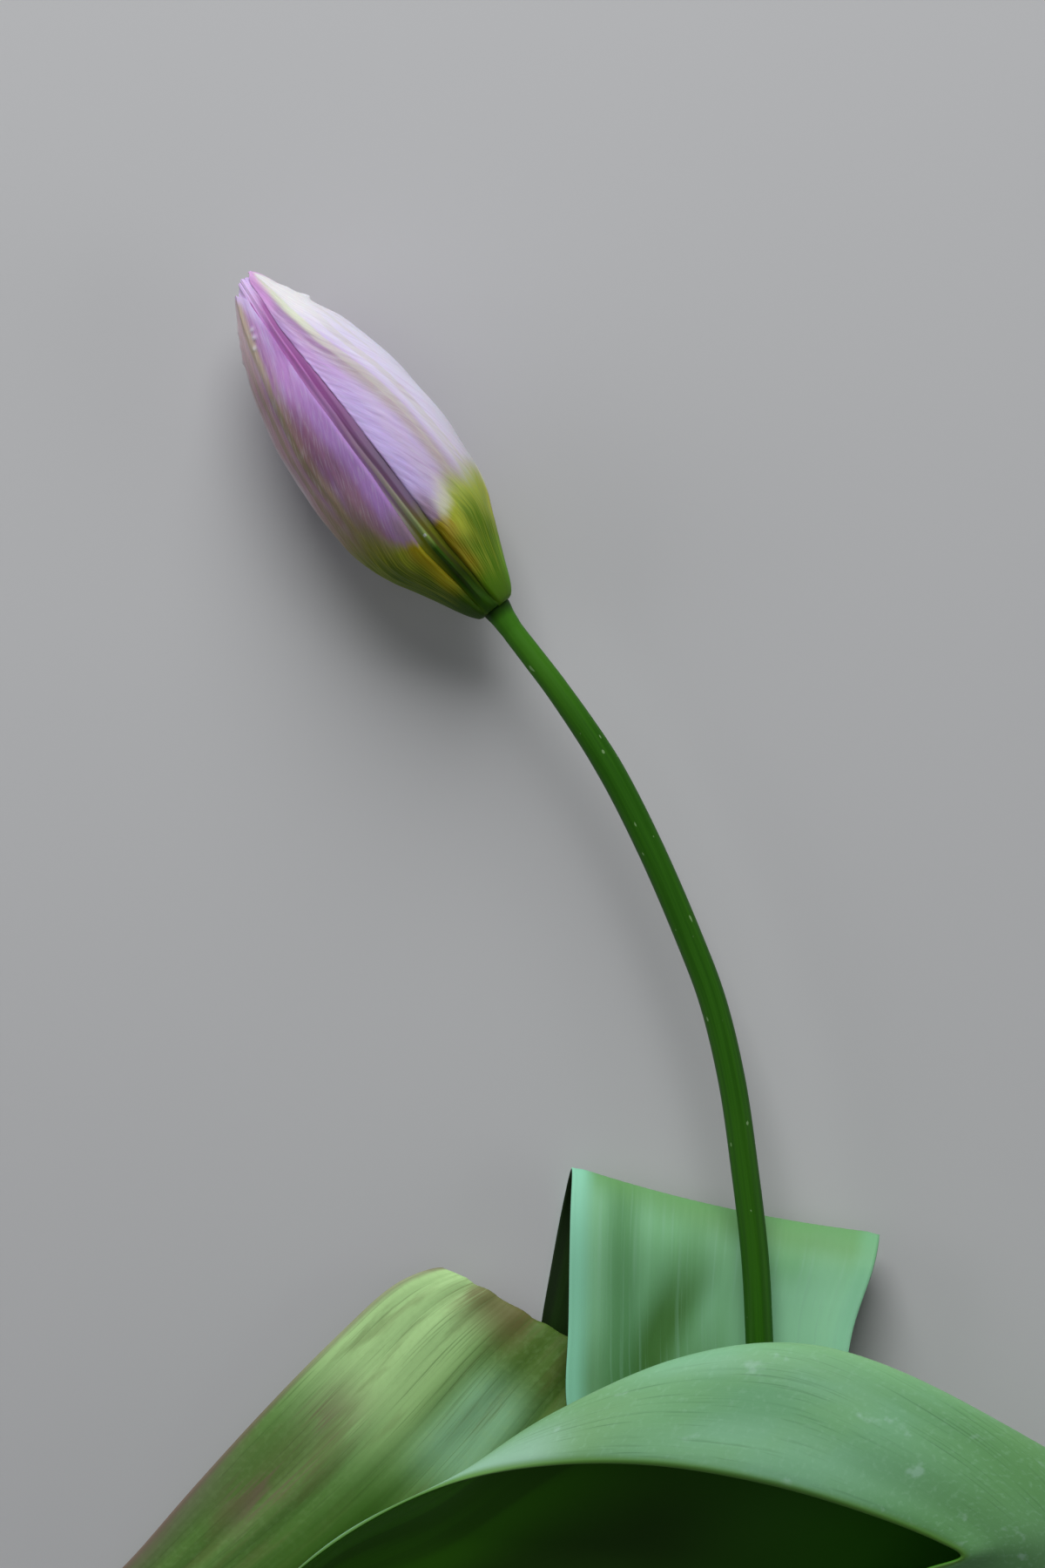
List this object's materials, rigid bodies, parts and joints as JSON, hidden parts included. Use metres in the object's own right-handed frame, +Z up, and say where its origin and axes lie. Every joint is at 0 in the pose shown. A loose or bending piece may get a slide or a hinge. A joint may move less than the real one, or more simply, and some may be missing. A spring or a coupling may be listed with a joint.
{
  "type": "lilac wonder tulip",
  "caption": "Closed lilac tulip bud with a yellow-green foot on a bent green stem, picked with its broad arching basal leaves and lying on a surface.",
  "frame": {"origin": "middle of the flower's outline, on the surface that it lies on", "axes": "+Y from the cut end of the stem towards the bud, +Z up from the surface, +X to the right seen from above"},
  "size_m": [0.1358, 0.178, 0.0299],
  "materials": {
    "stem": "satin green plant skin",
    "tepal_outer": "satin lilac petal, yellow-green at the foot",
    "tepal_inner": "satin deep magenta petal",
    "pistil": "matte pale green",
    "stamen": "matte pollen yellow",
    "leaf": "waxy green leaf with fine lengthwise veins"
  },
  "bodies": {
    "root": {"stem": "stem", "tepal_outer_1": "tepal_outer", "tepal_outer_2": "tepal_outer", "tepal_outer_3": "tepal_outer", "tepal_inner_1": "tepal_inner", "tepal_inner_2": "tepal_inner", "tepal_inner_3": "tepal_inner", "pistil": "pistil", "stamen_1": "stamen", "stamen_2": "stamen", "stamen_3": "stamen", "stamen_4": "stamen", "stamen_5": "stamen", "stamen_6": "stamen", "leaf_front": "leaf", "leaf_left": "leaf", "leaf_back": "leaf"}
  },
  "joints": []
}
